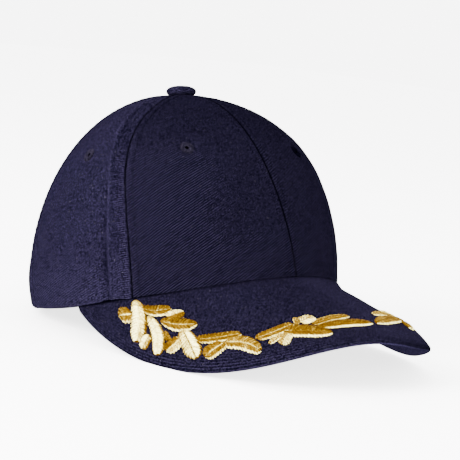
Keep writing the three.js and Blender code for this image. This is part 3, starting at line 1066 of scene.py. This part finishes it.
def makeButton():
    origin = tilted(crownAt(0.0, 90.0))
    axis = unit(turnedOnly(np.array([0.0, 0.0, 1.0])))
    profile = np.array(button["profile"])
    dentOut, dentTurn = button["dentAt"]
    turns = np.linspace(0, 2 * math.pi, button["columns"] + 1)[:-1]
    points, uv = [], []
    for turn, spoke in zip(turns, spokesRound(axis, turns)):
        for r, z in profile:
            # shallow gathers where the cloth is drawn under, and one soft dent on top
            lap = (0.12 * math.sin(turn * 9 + 1) * smoothStep(5.5, 8, r)
                   + 0.18 * math.sin(turn * 3) * smoothStep(2, 7, r))
            dentFar = (r * math.cos(turn - dentTurn) - dentOut) ** 2 + (r * math.sin(turn - dentTurn)) ** 2
            dent = -button["dent"] * math.exp(-dentFar / 2.2)
            points.append(origin + spoke * (r + lap * (r > 3)) + axis * (z + dent * (z > 3)))
            uv.append((r * math.cos(turn), r * math.sin(turn) + z))
    n, m = len(turns), len(profile)
    faces = turnedFaces(n, m, False)
    faces.append([((n - a) % n) * m for a in range(n)])
    faces.append([a * m + m - 1 for a in range(n)])
    made = pieceFrom("top_button_cloth", points, faces, {
        "paintedShade": np.zeros(len(points)), "ribsShown": np.full(len(points), 0.2),
        "ticksShown": np.zeros(len(points)), "worn": np.zeros(len(points))}, np.array(uv))
    made.data.materials.append(buttonTwill)
    settle(made, "top_button")


makeButton()
print("button made")

peakCloth = {
    "columns": 168,
    "rows": 64,
    "rimRoll": 1.3,
    "underRoll": 0.8,
    "rimInset": 0.5,
    "curveShare": 1.15,
    "wave": 0.12,
}


def makePeakSkin(name, topRise, bottomRise, isTop, finish, inset):
    t = np.linspace(-1, 1, peakCloth["columns"] + 1)
    angle = (peak["halfAngle"] * np.sin(math.pi / 2 * t))[:, None]
    s = np.linspace(0, 1, peakCloth["rows"] + 1)[None, :]
    s = s + 0.65 * np.sin(math.pi * s) / math.pi
    reach = np.maximum(peakReach(angle), 3) - inset
    out = peak["start"] + (reach - peak["start"]) * np.minimum(s, 1)
    angle = angle + 0 * out
    rim = reach - out
    root = np.maximum(out, 0)
    fall = rolledEdge(peakCloth["rimRoll"] if isTop else peakCloth["underRoll"], rim)
    wave = peakCloth["wave"] * ripple(77, angle * 1.7, out, 34) * smoothStep(0, 12, np.minimum(rim, root))
    if isTop:
        top = topRise - np.minimum(fall, topRise - bottomRise - 0.25) + wave
        bottom = bottomRise + 0 * out
    else:
        top = topRise + 0 * out
        bottom = bottomRise + np.minimum(fall, topRise - bottomRise - 0.25) - wave
    upper = peakShown(angle, out, top)
    lower = peakShown(angle, out, bottom)
    # the ribs follow the rim, which is cut on the curve
    alongRim = alongRows(peakAt(angle, reach).transpose(1, 0, 2))[0][:, None]
    uv = np.stack([alongRim + 0 * out, rim], -1)
    # painted shade where the peak goes in under the crown, and a painted dark line along the rim on the far side
    paintedShade = np.maximum(np.clip(1.15 - root / 0.8, 0, 1), 0.5 * bell(rim, 0.9) * smoothStep(-5, 15, angle))
    ticks = 0.8 * bell(angle - 2, 16) * smoothStep(38, 52, out) * isTop
    ribs = 0.03 + 0.55 * np.exp(-rim / 8) * smoothStep(-8, -28, angle)
    # the light line along the rim is partly edge wear and partly a painted highlight, and the top is painted
    # lighter inside the rim, as light the key doesn't give it; both only on the far side of the peak
    worn = 0.2 * bell(rim - 0.5, 0.5) + 0.75 * isTop * smoothStep(0.5, 5, rim)
    worn = smoothStep(-12, 8, angle) * worn
    numbers = {"paintedShade": paintedShade, "ribsShown": ribs, "ticksShown": ticks, "worn": worn}
    # the angle runs the other way round than the faces do
    points = np.concatenate([upper[::-1].reshape(-1, 3), lower[::-1].reshape(-1, 3)])
    made = pieceFrom(name + "_cloth", points, shellFaces(*upper.shape[:2]),
                     {key: forBothSkins(values[::-1]) for key, values in numbers.items()}, forBothSkins(uv[::-1]))
    made.data.materials.append(finish)
    settle(made, name)
    shown = upper if isTop else lower
    # rough: straight extents, made longer for the curve of the peak from back to front only
    declareSheet(made, np.ptp(shown[..., 0]), np.ptp(shown[..., 1]) * peakCloth["curveShare"], areaOf(shown))


makePeakSkin("peak_upper", peak["topRise"], peak["middleRise"], True, peakTwill, 0.0)
makePeakSkin("peak_under", peak["middleRise"] - peak["gap"], peak["underDrop"], False, underTwill,
             peakCloth["rimInset"])

# The line of stitches where the peak is sewn under the crown.
t = np.linspace(-80, 80, 260)
joinPath = peakShown(t, 0.55 + 0 * t, 0.45 + 0 * t)
joinOut = turnedOnly(-outwardOf(peakAt, t, 1 + 0 * t))
peakStitches = pathsObject("peak_join_stitches", [joinPath], [joinOut])
grow(peakStitches, stitchRow, {"Pitch": 2.5, "Length": 1.9, "Thickness": 0.5, "Arch": 0.15},
     {"Sway": 0.1, "Seed": 5, "Thread": navyThread})
settle(peakStitches)
print("peak made")

gold = {
    "step": 0.38,
    "girth": 0.225,
    "ridge": 0.6,
    "slant": 0.55,
    "leafPoint": 0.12,
    "teeth": 0.20,
    "tooth": 1.7,
    # shares from the rib to the edge: the points of one thread, and where its tone changes
    "along": (0.0, 0.10, 0.24, 0.70, 0.88, 1.0),
    "toneAt": (0.0, 0.03, 0.12, 0.74, 0.88, 1.0),
    # the threads of the left branch are painted paler, as painted highlight
    "leftPaler": 0.12,
}
leafTable = [
    # name, angle, out, tip angle, tip out, wide, bow, blunt, then how pale the threads are on the first lobe and
    # its rim, along the rib, and on the second lobe and its rim: the paleness is painted highlight, where the
    # metal threads would glint in the key light
    ("lobe", 65.0, 9.0, 69.6, 8.4, 8.8, 0.0, 0.8, (0.50, 0.85, 0.97, 0.38, 0.35)),
    ("long outer", 61.1, 1.7, 67.6, 24.7, 8.3, -1.3, 0.9, (0.76, 0.30, 0.92, 0.96, 0.78)),
    ("short outer", 62.6, 22.7, 66.7, 28.5, 4.8, 0.3, 0.8, (0.62, 0.34, 0.90, 0.95, 0.84)),
    ("long inner", 59.8, 12.2, 63.1, 34.4, 6.7, -2.4, 0.85, (0.90, 0.50, 0.95, 0.95, 0.62)),
    ("upper", 60.9, 7.3, 51.9, 10.6, 6.7, 1.2, 0.75, (0.36, 0.28, 0.66, 0.38, 0.90)),
    ("upper tip", 54.6, 15.5, 48.9, 14.9, 5.6, -0.2, 0.5, (0.80, 0.97, 0.50, 0.37, 0.42)),
    ("middle", 57.2, 16.7, 47.4, 24.3, 8.4, 1.2, 0.4, (0.36, 0.32, 0.80, 0.38, 0.95)),
    ("link", 57.5, 23.1, 57.5, 29.5, 3.2, 0.6, 0.6, (0.42, 0.38, 0.50, 0.40, 0.38)),
    ("low lobe", 54.4, 29.8, 60.1, 33.8, 6.4, -0.3, 0.85, (0.72, 0.88, 0.97, 0.36, 0.34)),
    ("wide", 52.4, 25.4, 53.3, 43.7, 9.6, -0.2, 0.6, (0.93, 0.40, 0.48, 0.84, 0.62)),
    ("ribbon", 50.5, 33.6, 38.5, 39.6, 5.9, 0.4, 0.9, (0.35, 0.32, 0.78, 0.34, 0.88)),
    ("hanging", 44.4, 41.5, 51.0, 44.7, 7.4, 0.4, 0.85, (0.40, 0.90, 0.95, 0.38, 0.40)),
    ("broad", 44.1, 41.4, 37.5, 55.0, 9.5, -3.0, 0.85, (0.50, 0.38, 0.88, 0.46, 0.96)),
    ("stem", 36.3, 46.3, 24.0, 45.2, 6.3, 0.7, 0.8, (0.35, 0.32, 0.85, 0.35, 0.86)),
    ("bud one", 29.3, 49.6, 34.3, 52.8, 2.6, -0.2, 0.8, (0.55, 0.90, 0.75, 0.62, 0.60)),
    ("bud two", 27.4, 51.0, 31.7, 57.0, 5.7, 0.5, 0.85, (0.75, 0.88, 0.80, 0.55, 0.60)),
    ("long low", 28.6, 47.9, 17.2, 61.6, 10.9, -1.0, 0.45, (0.33, 0.30, 0.46, 0.33, 0.96)),
    ("bead", 23.3, 46.9, 21.7, 40.9, 2.5, -0.1, 0.9, (0.50, 0.80, 0.60, 0.50, 0.60)),
    ("oval", 21.9, 45.6, 16.7, 45.3, 7.0, -0.4, 0.85, (0.66, 0.80, 0.55, 0.84, 0.92)),
    ("slender", 19.7, 50.4, 5.6, 50.4, 5.2, -0.9, 0.6, (0.42, 0.74, 0.62, 0.36, 0.86)),
    ("long tip", 19.4, 53.7, 0.6, 60.0, 7.4, -0.7, 0.45, (0.30, 0.28, 0.34, 0.30, 0.95)),
]


def leafWidth(share, blunt):
    fromMiddle = np.abs(2 * np.clip(share, 0, 1) - 1)
    full = (1 - fromMiddle ** (1.7 + 2.8 * blunt)) ** (1.0 - 0.55 * blunt)
    return np.maximum(full, gold["leafPoint"])


def leafPlace(row, side):
    angle, out, tipAngle, tipOut, _, bow = row[1:7]
    degree = 1.7 + 0.0045 * (out + tipOut) / 2
    run, rise = (tipAngle - angle) * degree, tipOut - out
    length = math.hypot(run, rise)

    def at(share, offset, height):
        bend = offset + bow * np.sin(math.pi * share)
        a = angle + (run * share + rise / length * bend) / degree
        o = out + rise * share - run / length * bend
        return peakShown(side * a, o, peak["topRise"] + height)
    return at, length


def leafPad(row, side):
    at, length = leafPlace(row, side)
    wide, _, blunt, pale = row[5:]
    stations = max(6, round(length / 1.6))
    share = np.linspace(0.0, 1.0, stations + 1)[:, None]
    t = np.linspace(-1, 1, 9)[None, :]
    half = wide / 2 * leafWidth(share, blunt) * 0.93
    lobes = np.sqrt(np.clip(1 - (2 * np.abs(t) - 1) ** 2, 0, 1))
    height = 0.12 + (gold["ridge"] - 0.22) * lobes * np.minimum(1, half / 2.2)
    top = at(share + 0 * t, half * t, height)
    under = at(share + 0 * t, half * t, 0 * height + 0.02)
    if side < 0:
        top, under = top[:, ::-1], under[:, ::-1]
    points = np.concatenate([top.reshape(-1, 3), under.reshape(-1, 3)])
    return points, shellFaces(top.shape[0], top.shape[1]), np.full(len(points), min(pale))


def leafThreads(row, side, dice):
    at, length = leafPlace(row, side)
    wide, _, blunt, pale = row[5:]
    paths, girths, tones = [], [], []
    count = int(length / gold["step"])
    q = np.array(gold["along"])
    for lobe in (-1, 1):
        for k in range(count + 1):
            share = 0.025 + 0.94 * (k + 0.5 * (lobe > 0)) / count
            half = wide / 2 * leafWidth(np.array(share), blunt)
            lean = gold["slant"] * half / length
            place = np.clip(share - lean * 0.6 + lean * q, -0.02, 1.02)
            halfHere = wide / 2 * leafWidth(place, blunt)
            jag = 1 + 0.04 * dice.standard_normal() + gold["teeth"] * (k * gold["step"] / gold["tooth"] % 1 - 0.5)
            offset = lobe * (0.10 + q * (halfHere * jag - 0.1))
            arch = np.sin(math.pi * q ** 0.85) ** 0.55
            height = 0.18 + gold["ridge"] * arch * min(1, half / 2.2) + 0.03 * dice.standard_normal() * arch
            height[-1] = -0.05
            paths.append(at(place, offset, height))
            girths.append(np.full(len(q), gold["girth"] * (1 + 0.16 * dice.standard_normal())))
            # painted highlight: each lobe, rim and rib gets the paleness listed for it, where the threads would
            # glint, and the left branch is painted paler still, as it catches more light
            body, edge = (pale[0], pale[1]) if lobe < 0 else (pale[3], pale[4])
            body = body + (gold["leftPaler"] if side > 0 else 0.0)
            rib = pale[2] + 0.12 * dice.standard_normal()
            shades = np.interp(q, gold["toneAt"], (rib, rib, body, body, edge, edge))
            # the painted highlight is taken off near the root, where the leaf tucks in under others and is shaded
            tuck = 0.30 * max(0.0, 1 - share / 0.22) * (shades > 0.6)
            uneven = 0.04 * dice.standard_normal() + 0.10 * dice.standard_normal(len(q))
            tones.append(np.clip(shades - tuck + uneven, 0, 1))
    return paths, girths, tones


def makeBranch(name, side, seed):
    dice = np.random.default_rng(seed)
    points, faces, toneOf = [], [], []
    paths, girths, tones = [], [], []
    start = 0
    for row in leafTable:
        p, f, tone = leafPad(row, side)
        points.append(p)
        faces += [tuple(v + start for v in face) for face in f]
        toneOf.append(tone)
        start += len(p)
        a, b, c = leafThreads(row, side, dice)
        paths += a
        girths += b
        tones += c
    pads = pieceFrom(name + "_pads", np.concatenate(points), faces, {"tone": np.concatenate(toneOf) * 0.5})
    pads.data.materials.append(goldThread)
    girths = [girth * millimetre for girth in girths]
    threads = pathsObject(name + "_threads", paths, (), {"girth": girths, "tone": tones})
    grow(threads, laidThreads, {}, {"Sides": 5, "Girth": 1.0, "Thread": goldThread})
    settle(pads, name)
    settle(threads)
    print(name, "threads", len(paths), "faces", len(threads.data.polygons))


makeBranch("embroidery_right", -1, 21)
makeBranch("embroidery_left", 1, 22)
print("embroidery made")

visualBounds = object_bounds()
plainList = lambda box: [[float(v) for v in corner] for corner in box]
{"cad": plainList(cadBounds), "visual": plainList(visualBounds)}
